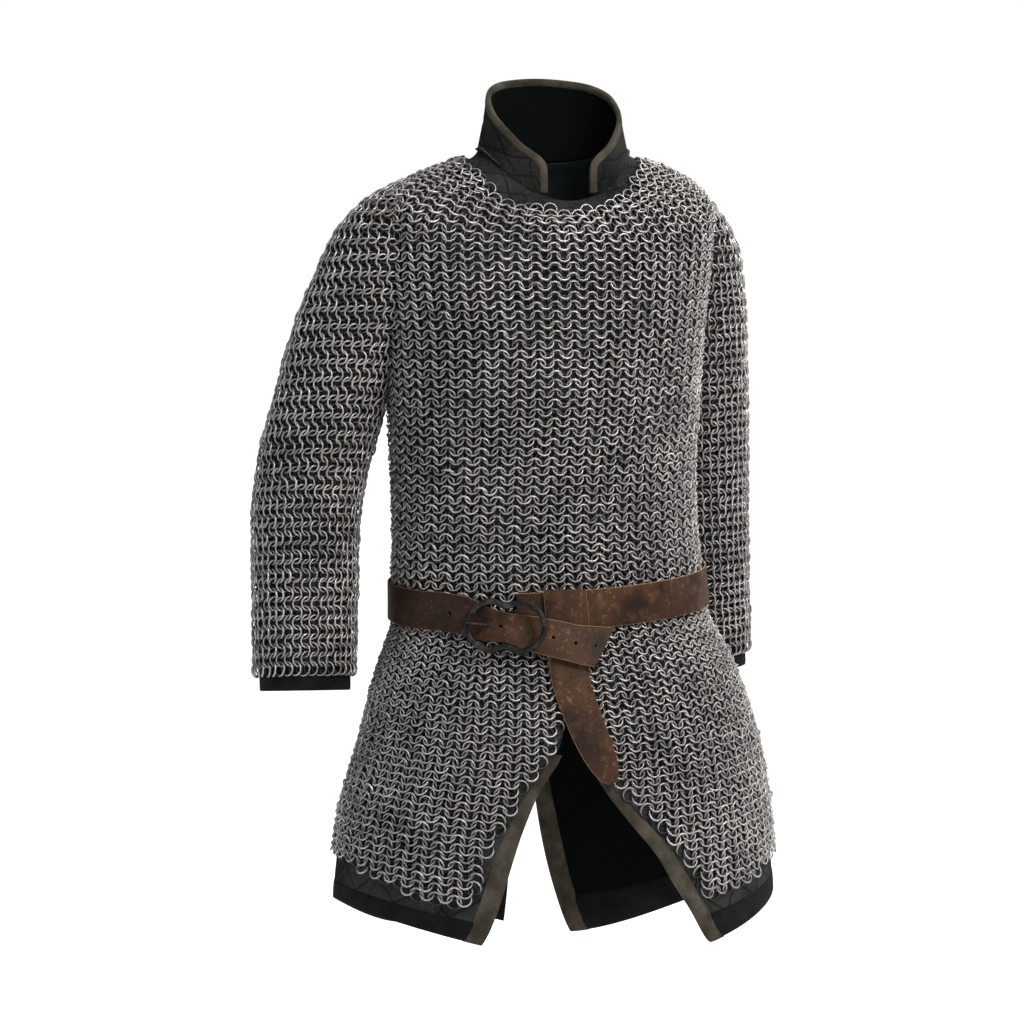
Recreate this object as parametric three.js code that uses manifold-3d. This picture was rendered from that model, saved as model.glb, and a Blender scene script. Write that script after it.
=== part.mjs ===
// Mail hauberk worn over a quilted arming coat, with a knotted leather belt.
// Millimetres, +Z up, front toward -Y, wearer's left toward +X.
// The origin is the middle of the neck at shoulder height, where the wearer carries it.
import * as THREE from 'three';
import { mergeVertices } from 'three/addons/utils/BufferGeometryUtils.js';
import Module from 'manifold-3d';

const wasm = await Module();
wasm.setup();

// Cloth walls, as distances inward from the outer face of the mail
const seamGap = 0.35;
const mailThickness = 6;
const coatThickness = 3;
const layerGap = 0.45;
const mailWall = { outer: 0, inner: -mailThickness };
const coatWall = {
  outer: -mailThickness - layerGap,
  inner: -mailThickness - layerGap - coatThickness,
};

// Level rings of the body, from the neck down: heights at the front, side and back,
// half width, depth to the front, depth to the back, shift to the left, turn in degrees
const bodyRings = [
  [-46, 10, -2, 90, 73, 63, 0, 0],
  [-53, 2, -8, 97, 80, 70, 0, 0],
  [-62, -12, -18, 133, 90, 82, -2, -1],
  [-78, -30, -38, 173, 101, 96, -4, 4],
  [-105, -58, -68, 198, 111, 107, -6, 6],
  [-150, -112, -117, 197, 118, 113, -8, 6],
  [-205, -190, -192, 189, 122, 114, -9, 6],
  [-270, -265, -265, 183, 122, 112, -9.5, 5],
  [-345, -345, -345, 177, 119, 108, -9.5, 3],
  [-410, -410, -410, 176, 119, 107, -8, 1],
  [-452, -452, -452, 178, 123, 110, -6, 0],
  [-484, -484, -484, 179.5, 124.4, 111.8, -4, 0],
  [-516, -516, -516, 183, 127, 115, -1, 0],
  [-573, -573, -573, 208, 148, 130, 5, 0],
  [-652, -650, -652, 231, 167, 144, 8, 0],
  [-735, -725, -740, 249, 180, 152, 4, 0],
  [-815, -785, -830, 257, 186, 155, 3, 0],
  [-880, -825, -912, 260, 189, 157, 3, 0],
];
const ring = { coatTop: 0, mailTop: 1, waist: 11, hem: 17 };
const mailHem = 16.08;            // ring number where the mail stops, all round
const bodyColumns = 16;           // facets across half of the body
const bodyRowsPerRing = 1;

// Split edges of the coat skirt: ring number, then the angle of each edge in degrees,
// measured from the centre front toward the wearer's left
const frontSplit = [
  [11, -0.1, 0.1],
  [13.2, -7.9, -7.4],
  [13.95, -11, -4.2],
  [14.4, -16.5, 0.7],
  [14.92, -20.2, 9],
  [15.36, -22.6, 15.9],
  [15.74, -24.5, 20],
  [16.3, -27.2, 26],
  [17, -30.3, 31.6],
];
const backSplit = [
  [11, 179.9, 180.1],
  [13.6, 178.9, 179.2],
  [14.4, 177.2, 180.2],
  [15.15, 175.2, 181.4],
  [16, 171.6, 182.6],
  [17, 165.7, 183.8],
];
const cornerLifts = [             // hem corners that hang short: angle, rise, sharpness
  [-33, 13, 4],
  [192, 30, 20],
];
const edgingWidth = 15;           // bound edge of the coat skirt
const edgingThickness = 5;
const mailSetback = 19;           // mail edge behind the coat edge at the hem

// Sleeve paths from inside the shoulder to the wrist, with half width and half depth
const sleevePaths = {
  right: [
    [-96, -2, -66, 40, 40],
    [-146, -3, -74, 52, 52],
    [-190, 2, -106, 58, 57],
    [-215, 12, -162, 60, 59],
    [-234, 20, -215, 61, 60],
    [-249, 28, -275, 61.5, 60],
    [-266, 36, -342, 61, 59],
    [-274, 38, -405, 60, 58],
    [-276, 34, -480, 58.5, 57],
    [-278, 28, -545, 57.5, 56],
    [-279, 22, -592, 57, 55],
  ],
  left: [
    [96, 18, -66, 40, 40],
    [140, 26, -76, 50, 51],
    [172, 38, -108, 56, 56],
    [186, 52, -162, 57, 58],
    [193, 65, -215, 57, 59],
    [199, 77, -275, 57, 59],
    [205, 90, -342, 56, 58],
    [211, 104, -405, 55, 57],
    [218, 114, -480, 53, 56],
    [224, 120, -545, 51, 55],
    [227, 120, -592, 50, 54],
  ],
};
const sleeveColumns = 14;
const sleeveRows = 9;
const cuffShow = 14;              // cuff below the mail
const cuffTuck = 14;              // cuff hidden under the mail

// Stand collar: edge angle from the centre front, edge height, angle at its foot
const collarEdge = [
  [15.5, -42, 23.5],
  [16, -26, 26],
  [17.5, -12, 30],
  [22, -3, 36],
  [29, 4, 43],
  [38, 12, 51],
  [52, 27, 62],
  [70, 43, 76],
  [90, 59, 92],
  [106, 70, 107],
  [130, 80, 130],
  [155, 85, 155],
  [180, 87, 180],
];
const collarTop = { z: 90, halfWidth: 69.5, front: 64, back: 60 };
const collarThickness = 4;
const collarEdgingWidth = 9;
const collarEdgingThickness = 6;

// Belt and buckle
const beltWidth = 43;
const beltThickness = 3;
const hitchThickness = 2.6;
const beltClearance = 1.7;
const buckle = {
  angle: -27.3, z: -513.5, halfWidth: 46, halfHeight: 30,
  wire: 3, waist: 22.3, tilt: 5, plane: 14.2, rise: 10.5, barDrop: 7,
};

const material = (color, roughness, metalness) =>
  new THREE.MeshStandardMaterial({ color, roughness, metalness });
const finishes = {
  mail: () => material('#8d8a86', 0.45, 0.9),
  quilt: () => material('#3a3c3b', 0.9, 0),
  edging: () => material('#5d5748', 0.85, 0),
  leather: () => material('#5a3a26', 0.65, 0),
  iron: () => material('#2e2c2a', 0.5, 0.85),
};

const group = new THREE.Group();
group.name = 'hauberk';

const radians = THREE.MathUtils.degToRad;
const vec = (x, y, z) => new THREE.Vector3(x, y, z);

// Smooth value of a table of rows at a fractional row number
function sampleRows(rows, at) {
  const last = rows.length - 1;
  const row = Math.min(Math.max(at, 0), last - 1e-6);
  const i = Math.floor(row);
  const t = row - i;
  const [a, b, c, d] = [i - 1, i, i + 1, i + 2].map((k) => rows[Math.min(Math.max(k, 0), last)]);
  return b.map((_, n) => 0.5 * (2 * b[n] + (c[n] - a[n]) * t
    + (2 * a[n] - 5 * b[n] + 4 * c[n] - d[n]) * t * t
    + (3 * b[n] - a[n] - 3 * c[n] + d[n]) * t * t * t));
}

// Straight-line value of a table whose first column is the key
function lookUp(table, key) {
  const k = Math.min(Math.max(key, table[0][0]), table.at(-1)[0]);
  let i = 0;
  while (i < table.length - 2 && table[i + 1][0] < k) i += 1;
  const t = (k - table[i][0]) / (table[i + 1][0] - table[i][0]);
  return table[i].map((value, n) => value + (table[i + 1][n] - value) * t);
}

// Rise of the hem at an angle and a ring number
function hemRise(angle, row) {
  const low = THREE.MathUtils.smoothstep(row, 16, ring.hem);
  return low * cornerLifts.reduce((sum, [at, rise, sharpness]) => (
    sum + rise * Math.exp(sharpness * (Math.cos(angle - radians(at)) - 1))), 0);
}

// Point of the body's outer face at an angle from the centre front and a ring number
function bodyFace(angle, row) {
  const [zFront, zSide, zBack, halfWidth, front, back, shift, turn] = sampleRows(bodyRings, row);
  const s = Math.sin(angle);
  const c = Math.cos(angle);
  const z = zSide + ((c > 0 ? zFront : zBack) - zSide) * c * c;
  const p = vec(halfWidth * s, -(c > 0 ? front : back) * c, z + hemRise(angle, row));
  p.applyAxisAngle(vec(0, 0, 1), radians(turn));
  p.x += shift;
  return p;
}

// The same point moved along the face's normal
function bodyPoint(angle, row, offset) {
  const step = 0.01;
  const p = bodyFace(angle, row);
  const around = bodyFace(angle + step, row).sub(bodyFace(angle - step, row));
  const top = Math.max(row - 0.02, 0);
  const low = Math.min(row + 0.02, ring.hem - 0.001);
  const down = bodyFace(angle, low).sub(bodyFace(angle, top));
  return p.addScaledVector(down.cross(around).normalize(), offset);
}

// A closed wall between two matching grids of points; a ring is closed on itself
function wallGeometry(outer, inner, closed = false) {
  const rows = outer.length;
  const columns = outer[0].length;
  const positions = [];
  const index = [];
  for (const grid of [outer, inner]) {
    for (const row of grid) {
      for (const p of row) positions.push(p.x, p.y, p.z);
    }
  }
  const id = (side, j, i) => side * rows * columns + j * columns + (i % columns);
  const quad = (a, b, c, d) => index.push(a, b, c, a, c, d);
  const spans = closed ? columns : columns - 1;
  for (let j = 0; j < rows - 1; j += 1) {
    for (let i = 0; i < spans; i += 1) {
      quad(id(0, j, i), id(0, j + 1, i), id(0, j + 1, i + 1), id(0, j, i + 1));
      quad(id(1, j, i), id(1, j, i + 1), id(1, j + 1, i + 1), id(1, j + 1, i));
    }
  }
  for (let i = 0; i < spans; i += 1) {
    quad(id(0, 0, i), id(0, 0, i + 1), id(1, 0, i + 1), id(1, 0, i));
    quad(id(0, rows - 1, i), id(1, rows - 1, i), id(1, rows - 1, i + 1), id(0, rows - 1, i + 1));
  }
  if (!closed) {
    for (let j = 0; j < rows - 1; j += 1) {
      const end = columns - 1;
      quad(id(0, j, 0), id(1, j, 0), id(1, j + 1, 0), id(0, j + 1, 0));
      quad(id(0, j, end), id(0, j + 1, end), id(1, j + 1, end), id(1, j, end));
    }
  }
  const geometry = new THREE.BufferGeometry();
  geometry.setAttribute('position', new THREE.Float32BufferAttribute(positions, 3));
  geometry.setIndex(index);
  return geometry;
}

// A filled volume inside a stack of closed rings
function filledGeometry(rings) {
  const columns = rings[0].length;
  const positions = rings.flat().flatMap((p) => [p.x, p.y, p.z]);
  const index = [];
  for (let j = 0; j < rings.length - 1; j += 1) {
    for (let i = 0; i < columns; i += 1) {
      const next = (i + 1) % columns;
      const [a, b] = [j * columns, (j + 1) * columns];
      index.push(a + i, b + i, b + next, a + i, b + next, a + next);
    }
  }
  for (const [start, flip] of [[0, false], [(rings.length - 1) * columns, true]]) {
    const centre = positions.length / 3;
    const middle = vec(0, 0, 0);
    for (let i = 0; i < columns; i += 1) {
      middle.add(vec(...positions.slice((start + i) * 3, (start + i) * 3 + 3)));
    }
    middle.divideScalar(columns);
    positions.push(middle.x, middle.y, middle.z);
    for (let i = 0; i < columns; i += 1) {
      const next = start + ((i + 1) % columns);
      if (flip) index.push(centre, next, start + i);
      else index.push(centre, start + i, next);
    }
  }
  const geometry = new THREE.BufferGeometry();
  geometry.setAttribute('position', new THREE.Float32BufferAttribute(positions, 3));
  geometry.setIndex(index);
  return geometry;
}

function toSolid(geometry) {
  const bare = geometry.clone();
  bare.deleteAttribute('normal');
  bare.deleteAttribute('uv');
  const merged = mergeVertices(bare, 1e-4);
  return new wasm.Manifold(new wasm.Mesh({
    numProp: 3,
    vertProperties: new Float32Array(merged.attributes.position.array),
    triVerts: new Uint32Array(merged.index.array),
  }));
}

function fromSolid(solid) {
  const mesh = solid.getMesh();
  const geometry = new THREE.BufferGeometry();
  geometry.setAttribute('position', new THREE.Float32BufferAttribute(mesh.vertProperties, 3));
  geometry.setIndex(Array.from(mesh.triVerts));
  return geometry;
}

function addPart(name, geometry, finish) {
  const flat = geometry.toNonIndexed();
  flat.computeVertexNormals();
  const mesh = new THREE.Mesh(flat, finishes[finish]());
  mesh.name = name;
  group.add(mesh);
  return mesh;
}

const spread = (from, to, count) =>
  Array.from({ length: count + 1 }, (_, i) => from + ((to - from) * i) / count);

// Body panels: one wall from a range of angles and rings
function bodyWall(angles, rows, wall, lift = 0) {
  const grid = (offset) => rows.map((row) => angles.map((a) => bodyPoint(a, row, offset)));
  return wallGeometry(grid(wall.outer + lift), grid(wall.inner));
}

function bodyVolume(offset) {
  const angles = spread(-Math.PI / 2, 1.5 * Math.PI, 2 * bodyColumns).slice(0, -1);
  const rows = spread(ring.coatTop, 13, 13);
  return toSolid(filledGeometry(rows.map((row) => angles.map((a) => bodyPoint(a, row, offset)))));
}

// Sleeve: closed sections along its path
function sleeveRing(side, at, offset) {
  const path = sleevePaths[side];
  const [x, y, z, halfWidth, halfDepth] = sampleRows(path, at);
  const a = sampleRows(path, at - 0.05);
  const b = sampleRows(path, at + 0.05);
  const along = vec(b[0] - a[0], b[1] - a[1], b[2] - a[2]).normalize();
  const across = vec(0, 1, 0).cross(along).normalize();
  const fore = along.clone().cross(across);
  return Array.from({ length: sleeveColumns }, (_, i) => {
    const turn = (2 * Math.PI * i) / sleeveColumns;
    return vec(x, y, z)
      .addScaledVector(across, Math.cos(turn) * (halfWidth + offset))
      .addScaledVector(fore, -Math.sin(turn) * (halfDepth + offset));
  });
}

const sleeveRings = (side, stations, offset) => stations.map((at) => sleeveRing(side, at, offset));

const sleeveEnd = sleevePaths.right.length - 1;
const endStep = 47;               // length of the path's last stretch
const mailEnd = sleeveEnd - cuffShow / endStep;
const tuckEnd = mailEnd - cuffTuck / endStep;

const mailStations = [...spread(0, tuckEnd, sleeveRows), mailEnd];
const coatStations = [...mailStations.slice(0, -2), tuckEnd - 0.01];
const cuffStations = [tuckEnd, mailEnd, sleeveEnd - 0.001];

function sleeveVolume(side, offset) {
  return toSolid(filledGeometry(sleeveRings(side, mailStations, offset)));
}

function sleeveWall(side, stations, wall) {
  const outer = sleeveRings(side, stations, wall.outer);
  const inner = sleeveRings(side, stations, wall.inner);
  return toSolid(wallGeometry(outer, inner, true));
}

const mailBody = bodyVolume(mailWall.outer + seamGap);
const coatBody = bodyVolume(coatWall.outer + seamGap);
for (const side of ['right', 'left']) {
  const mailSleeve = sleeveWall(side, mailStations, mailWall).subtract(mailBody);
  addPart(`mail_sleeve_${side}`, fromSolid(mailSleeve), 'mail');
  const coatSleeve = sleeveWall(side, coatStations, coatWall).subtract(coatBody);
  addPart(`coat_sleeve_${side}`, fromSolid(coatSleeve), 'quilt');
  const cuff = sleeveWall(side, cuffStations, coatWall);
  addPart(`coat_cuff_${side}`, fromSolid(cuff), 'edging');
}

const halves = { front: [-90, 90], back: [90, 270] };
const sideGap = 0.06;             // degrees between front and back panels
for (const [half, [from, to]] of Object.entries(halves)) {
  const angles = spread(radians(from + sideGap), radians(to - sideGap), bodyColumns);
  const coatRows = spread(ring.coatTop, ring.waist, ring.waist * bodyRowsPerRing);
  const mailRows = coatRows.slice(bodyRowsPerRing);
  const lift = 0.005;             // rings kept short of the waist seam
  coatRows[coatRows.length - 1] -= lift;
  mailRows[mailRows.length - 1] -= lift;
  let coat = toSolid(bodyWall(angles, coatRows, coatWall));
  let mail = toSolid(bodyWall(angles, mailRows, mailWall));
  for (const side of ['right', 'left']) {
    coat = coat.subtract(sleeveVolume(side, coatWall.inner));
    mail = mail.subtract(sleeveVolume(side, coatWall.outer + layerGap));
  }
  addPart(`coat_${half}`, fromSolid(coat), 'quilt');
  addPart(`mail_${half}`, fromSolid(mail), 'mail');
}

// Skirt quarters: columns run from the side seam to the split, rows from the waist to the hem
const skirtColumns = 7;
const bandTop = 16.35;
const skirtRows = [11.005, 12, 13, 13.95, 14.4, 14.92, 15.36, mailHem];
const edgingRows = [...skirtRows.slice(3), bandTop, 16.999];
const bandRows = [bandTop + 0.025, 16.999];

function skirtGrid(side, splitTable, column, rows, wall) {
  const grid = (offset) => rows.map((row) => {
    const [, low, high] = lookUp(splitTable, row);
    const edge = radians(column === 0 ? low : high);
    const seam = column === 0 ? side + radians(sideGap) : side - radians(sideGap);
    const radius = sampleRows(bodyRings, row)[4];
    const toward = column === 0 ? -1 : 1;
    const open = THREE.MathUtils.smoothstep(row, 13, 15.6);
    const mailEdge = edge + (toward * (0.4 + (mailSetback - 0.4) * open)) / radius;
    const boundEdge = edge + (toward * (0.3 + (edgingWidth + 0.35) * open)) / radius;
    const main = spread(seam, mailEdge, skirtColumns);
    const all = [...main, boundEdge, edge + (toward * (edgingWidth * open)) / radius, edge];
    const pick = wall.columns.map((n) => all[n < 0 ? all.length + n : n]);
    return pick.map((a) => bodyPoint(a, row, offset));
  });
  const outer = grid(wall.outer);
  const inner = grid(wall.inner);
  if (column === 1) return wallGeometry(outer.map((r) => r.reverse()), inner.map((r) => r.reverse()));
  return wallGeometry(outer, inner);
}

const mailColumns = spread(0, skirtColumns, skirtColumns);
const coatColumns = [...mailColumns, skirtColumns + 1];
const edgeLift = (edgingThickness - coatThickness) / 2;
const edgeWall = { outer: coatWall.outer + edgeLift, inner: coatWall.inner - edgeLift };
const quarters = [
  ['front_right', -Math.PI / 2, frontSplit, 0],
  ['front_left', Math.PI / 2, frontSplit, 1],
  ['back_left', Math.PI / 2, backSplit, 0],
  ['back_right', 1.5 * Math.PI, backSplit, 1],
];
for (const [name, seam, table, column] of quarters) {
  const build = (rows, wall, columns) => skirtGrid(seam, table, column, rows, { ...wall, columns });
  addPart(`mail_skirt_${name}`, build(skirtRows, mailWall, mailColumns), 'mail');
  const coatRows = [...skirtRows, bandTop];
  addPart(`coat_skirt_${name}`, build(coatRows, coatWall, coatColumns), 'quilt');
  addPart(`hem_band_${name}`, build(bandRows, edgeWall, coatColumns), 'edging');
  addPart(`split_edging_${name}`, build(edgingRows, edgeWall, [-2, -1]), 'edging');
}

// Collar: a wall from its foot on the coat to just under its bound edge
function collarPoint(angle, z, offset) {
  const foot = bodyPoint(angle, 0, coatWall.outer - coatThickness / 2);
  const rise = Math.min(Math.max((z - foot.z) / (collarTop.z - foot.z), 0), 1);
  const c = Math.cos(angle);
  const top = vec(
    collarTop.halfWidth * Math.sin(angle),
    -(c > 0 ? collarTop.front : collarTop.back) * c,
    z,
  );
  const flare = (1 - rise) ** 1.6;
  const p = vec(
    top.x + (foot.x - top.x) * flare,
    top.y + (foot.y - top.y) * flare,
    z,
  );
  const out = vec(Math.sin(angle), -c, 0);
  return p.addScaledVector(out, offset);
}

const collarPath = [
  ...collarEdge.map(([a, z, b]) => [a, z, b]),
  ...collarEdge.slice(0, -1).reverse().map(([a, z, b]) => [360 - a, z, 360 - b]),
];
const edgeCurve = collarPath.map(([a, z]) => collarPoint(radians(a), z, 0));

// Direction in the collar's surface from its edge toward the foot
function edgeInward(k) {
  const before = edgeCurve[Math.max(k - 1, 0)];
  const after = edgeCurve[Math.min(k + 1, edgeCurve.length - 1)];
  const along = after.clone().sub(before).normalize();
  const angle = radians(collarPath[k][0]);
  const out = vec(Math.sin(angle), -Math.cos(angle), 0.2).normalize();
  return { out, inward: along.clone().cross(out).normalize() };
}

const half = collarThickness / 2;
const collarRows = 3;
function collarGrid(offset) {
  return spread(0, 1, collarRows).map((t) => collarPath.map(([, , base], k) => {
    const { out, inward } = edgeInward(k);
    const lip = edgeCurve[k].clone().addScaledVector(inward, collarEdgingWidth + seamGap);
    const footAngle = radians(base);
    const foot = bodyPoint(footAngle, 0, coatWall.outer - coatThickness / 2);
    foot.z += 2.4;
    const footOut = vec(Math.sin(footAngle), -Math.cos(footAngle), 0);
    const low = foot.clone().addScaledVector(footOut, offset);
    const high = lip.addScaledVector(out, offset);
    const straight = high.clone().lerp(low, t);
    const curved = collarPoint(footAngle, straight.z, offset);
    const bend = 4 * t * (1 - t) * 0.6;
    return straight.lerp(vec(curved.x, curved.y, straight.z), bend);
  }));
}
addPart('coat_collar', wallGeometry(collarGrid(half), collarGrid(-half)), 'quilt');

function collarEdgingGrid(offset) {
  return [0, 1].map((t) => collarPath.map((_, k) => {
    const { out, inward } = edgeInward(k);
    return edgeCurve[k].clone()
      .addScaledVector(inward, t * collarEdgingWidth)
      .addScaledVector(out, offset);
  }));
}
const lipHalf = collarEdgingThickness / 2;
addPart('collar_edging', wallGeometry(collarEdgingGrid(lipHalf), collarEdgingGrid(-lipHalf)), 'edging');

// Ring number of a height near the waist
function rowAt(angle, z) {
  let low = 8;
  let high = ring.hem;
  for (let n = 0; n < 30; n += 1) {
    const mid = (low + high) / 2;
    if (bodyFace(angle, mid).z > z) low = mid;
    else high = mid;
  }
  return (low + high) / 2;
}

const onMail = (angle, z, offset) => bodyPoint(angle, rowAt(angle, z), offset);

// A strap: stations of [angle of the top edge, its height, angle of the low edge, its height, lift]
function strapGeometry(stations, thickness) {
  const grid = (extra) => [
    stations.map(([a, z, , , lift]) => onMail(radians(a), z, lift + extra)),
    stations.map(([, , a, z, lift]) => onMail(radians(a), z, lift + extra)),
  ];
  return wallGeometry(grid(thickness), grid(0));
}

const beltMiddle = (a) => -486 - 9 * Math.cos(radians(a)) + 8 * Math.sin(radians(a));
const halfBelt = beltWidth / 2;
const beltStations = [];
for (let a = -23; a <= 312; a += 5.6) {
  const z = beltMiddle(a);
  beltStations.push([a, z + halfBelt, a, z - halfBelt, beltClearance]);
}
// The free end rises over the buckle's bar, crosses the knot and ends on the slant
const freeEnd = [
  [316.5, -501, 1.9],
  [321, -505, 3.2],
  [326, -509.8, 6.6],
  [332.7, -514, 10.4],
  [338.5, -518.5, 8.2],
  [343.5, -522.5, 9],
  [348, -526.5, 10.2],
  [352, -530, 10.5],
  [356, -534, 10.6],
];
for (const [a, z, lift] of freeEnd) {
  const squeeze = 5.6 * Math.exp(-(((a - 332.7) / 5) ** 2));
  const span = halfBelt - squeeze;
  beltStations.push([a + 0.8, z + span, a - 0.8, z - span, lift]);
}
beltStations.push([362, -526, 357.4, -551, 10.6]);
beltStations.push([369, -517.5, 359.5, -559, 10.6]);

// The hitch comes over the belt's top edge and goes down behind the crossing end
const hitchStations = [
  [-13.6, -468.5, 6.3],
  [-13.6, -482, 6.3],
  [-13.5, -500, 6.3],
  [-13.8, -518, 6],
  [-14, -536, 4.8],
];
const hitchWidth = 15;            // degrees
const hitchRows = (extra) => hitchStations.map(([a, z, lift], n) =>
  spread(a, a + hitchWidth, 3).map((b, i) => onMail(radians(b), z + (n === 0 ? i * 0.8 : 0), lift + extra)));
addPart('belt_hitch', wallGeometry(hitchRows(hitchThickness), hitchRows(0)), 'leather');

// The tail hangs on the skirt: middle angle, height, half width, lift
const tailStations = [
  [-7, -537.2, 19.6, 4.5],
  [-7.6, -552, 19.2, 2.8],
  [-7.4, -575, 18.8, 2],
  [-5.6, -600, 18.6, 2],
  [-3.6, -625, 18.2, 1.8],
  [-1.3, -648, 16.6, 2],
  [0.4, -664, 13.4, 2.2],
  [1.6, -674, 9.4, 2.4],
  [2.2, -679, 4.6, 2.4],
];
const tailRows = (extra) => tailStations.map(([a, z, halfSpan, lift], n) => {
  const before = tailStations[Math.max(n - 1, 0)];
  const after = tailStations[Math.min(n + 1, tailStations.length - 1)];
  const p = onMail(radians(before[0]), before[1], 0);
  const q = onMail(radians(after[0]), after[1], 0);
  const lean = n < 2 ? 0 : Math.atan2(q.x - p.x, p.z - q.z) * 0.9;
  return [-1, 0, 1].map((side) => {
    const radius = sampleRows(bodyRings, rowAt(radians(a), z))[4];
    const angle = radians(a) + (side * halfSpan * Math.cos(lean)) / (radius * 1.25);
    return onMail(angle, z + side * halfSpan * Math.sin(lean), lift + extra);
  });
});
addPart('belt_tail', wallGeometry(tailRows(hitchThickness), tailRows(0)), 'leather');

// Buckle: two lobes with pointed ends, lying on the belt, with a bar across its waist
const buckleAngle = radians(buckle.angle);
const buckleUp = onMail(buckleAngle, buckle.z + 24, 0).sub(onMail(buckleAngle, buckle.z - 24, 0)).normalize();
const buckleSide = vec(Math.cos(buckleAngle), Math.sin(buckleAngle) * 0.75, 0).normalize();
const buckleOut = buckleSide.clone().cross(buckleUp).normalize();
buckleSide.copy(buckleUp).cross(buckleOut).normalize();
buckleSide.applyAxisAngle(buckleOut, radians(-buckle.tilt));
buckleUp.applyAxisAngle(buckleOut, radians(-buckle.tilt));
const buckleCentre = onMail(buckleAngle, buckle.z, buckle.plane);
const onBuckle = (x, y, out) => buckleCentre.clone()
  .addScaledVector(buckleSide, x)
  .addScaledVector(buckleUp, y)
  .addScaledVector(buckleOut, out);

// A closed rod through points, of round section
function rodGeometry(points, radii, sides, closed) {
  const rings = points.map((p, i) => {
    const count = points.length;
    const before = points[closed ? (i - 1 + count) % count : Math.max(i - 1, 0)];
    const after = points[closed ? (i + 1) % count : Math.min(i + 1, count - 1)];
    const along = after.clone().sub(before).normalize();
    const one = buckleOut.clone().addScaledVector(along, -buckleOut.dot(along)).normalize();
    const two = along.clone().cross(one);
    const radius = radii(i);
    return Array.from({ length: sides }, (_, n) => {
      const turn = (2 * Math.PI * n) / sides;
      return p.clone()
        .addScaledVector(one, Math.cos(turn) * radius)
        .addScaledVector(two, -Math.sin(turn) * radius);
    });
  });
  if (!closed) return filledGeometry(rings);
  const count = rings.length;
  const positions = rings.flat().flatMap((p) => [p.x, p.y, p.z]);
  const index = [];
  for (let j = 0; j < count; j += 1) {
    for (let i = 0; i < sides; i += 1) {
      const next = (i + 1) % sides;
      const [a, b] = [j * sides, ((j + 1) % count) * sides];
      index.push(a + i, b + i, b + next, a + i, b + next, a + next);
    }
  }
  const geometry = new THREE.BufferGeometry();
  geometry.setAttribute('position', new THREE.Float32BufferAttribute(positions, 3));
  geometry.setIndex(index);
  return geometry;
}

const framePoints = spread(0, 1, 44).slice(0, -1).map((t) => {
  const turn = 2 * Math.PI * t;
  const x = (buckle.halfWidth - buckle.wire) * Math.sign(Math.cos(turn)) * Math.abs(Math.cos(turn)) ** 0.9;
  const lobe = (buckle.halfHeight - buckle.wire) * 1.1;
  const pinch = 1 - (1 - buckle.waist / lobe) * Math.exp(-((x / 13) ** 2));
  const y = lobe * Math.sin(turn) * pinch;
  return onBuckle(x, y, (buckle.rise * Math.max(x, 0)) / buckle.halfWidth);
});
const frameRing = toSolid(rodGeometry(framePoints, () => buckle.wire, 8, true));
const barPoints = spread(-buckle.waist, buckle.waist, 6).map((y) =>
  onBuckle(0, y, -buckle.barDrop * (1 - (Math.abs(y) / buckle.waist) ** 6)));
const bar = toSolid(rodGeometry(barPoints, () => 2.1, 8, false));
addPart('buckle_frame', fromSolid(frameRing.add(bar)), 'iron');

// The tongue runs from the bar under the strap, up through its hole and onto the rim
const pinPoints = [
  onBuckle(-3.2, 0, -7.7),
  onBuckle(-12, 0.2, -8.5),
  onBuckle(-16.5, 0.4, -6.8),
  onBuckle(-21.5, 0.7, -2.2),
  onBuckle(-27, 1, 1),
  onBuckle(-36, 1.3, 4),
  onBuckle(-45, 1.7, 5.4),
];
const pinRadius = 1.7;
addPart('buckle_pin', rodGeometry(pinPoints, () => pinRadius, 8, false), 'iron');

const slotPoints = [14, -12].map((out) => [[-26, -3], [-13.5, -3], [-13.5, 3.6], [-26, 3.6]]
  .map(([x, y]) => onBuckle(x, y, out)));
const slot = toSolid(filledGeometry(slotPoints));
const strap = toSolid(strapGeometry(beltStations, beltThickness)).subtract(slot);
addPart('belt_strap', fromSolid(strap), 'leather');

export default group;
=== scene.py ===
import bpy, bmesh, math, random
from mathutils import Matrix, Vector, noise
from mathutils.bvhtree import BVHTree


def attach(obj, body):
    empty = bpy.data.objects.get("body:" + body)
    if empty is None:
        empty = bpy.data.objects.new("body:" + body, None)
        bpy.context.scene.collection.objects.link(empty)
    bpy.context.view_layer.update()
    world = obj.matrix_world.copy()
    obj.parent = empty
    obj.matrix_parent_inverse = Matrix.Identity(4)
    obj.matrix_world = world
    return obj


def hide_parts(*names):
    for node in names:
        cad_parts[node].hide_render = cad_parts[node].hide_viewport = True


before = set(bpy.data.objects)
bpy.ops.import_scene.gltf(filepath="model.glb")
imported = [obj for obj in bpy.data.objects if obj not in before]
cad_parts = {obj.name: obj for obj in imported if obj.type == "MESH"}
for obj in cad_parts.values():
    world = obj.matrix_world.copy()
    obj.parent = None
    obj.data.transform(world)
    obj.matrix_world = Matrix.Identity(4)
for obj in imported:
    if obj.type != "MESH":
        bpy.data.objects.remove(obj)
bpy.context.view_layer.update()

# A mail hauberk over a quilted arming coat. Tables are in millimetres, meshes in metres.
mm = 0.001

# Camera, lights and floor
view = {"azimuth": -16, "elevation": 4.5, "distance": 4.2, "lens": 131.8,
        "aimRight": -0.0448, "aimUp": -0.3977}
lighting = {"key": 100, "fill": 13, "rim": 46, "top": 22, "worldLight": 0.3}
floorHeight = -1.45


def viewVector(azimuth, elevation):  # from the garment toward a point round it
    a, e = math.radians(azimuth), math.radians(elevation)
    return Vector((math.sin(a) * math.cos(e), -math.cos(a) * math.cos(e), math.sin(e)))


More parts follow.
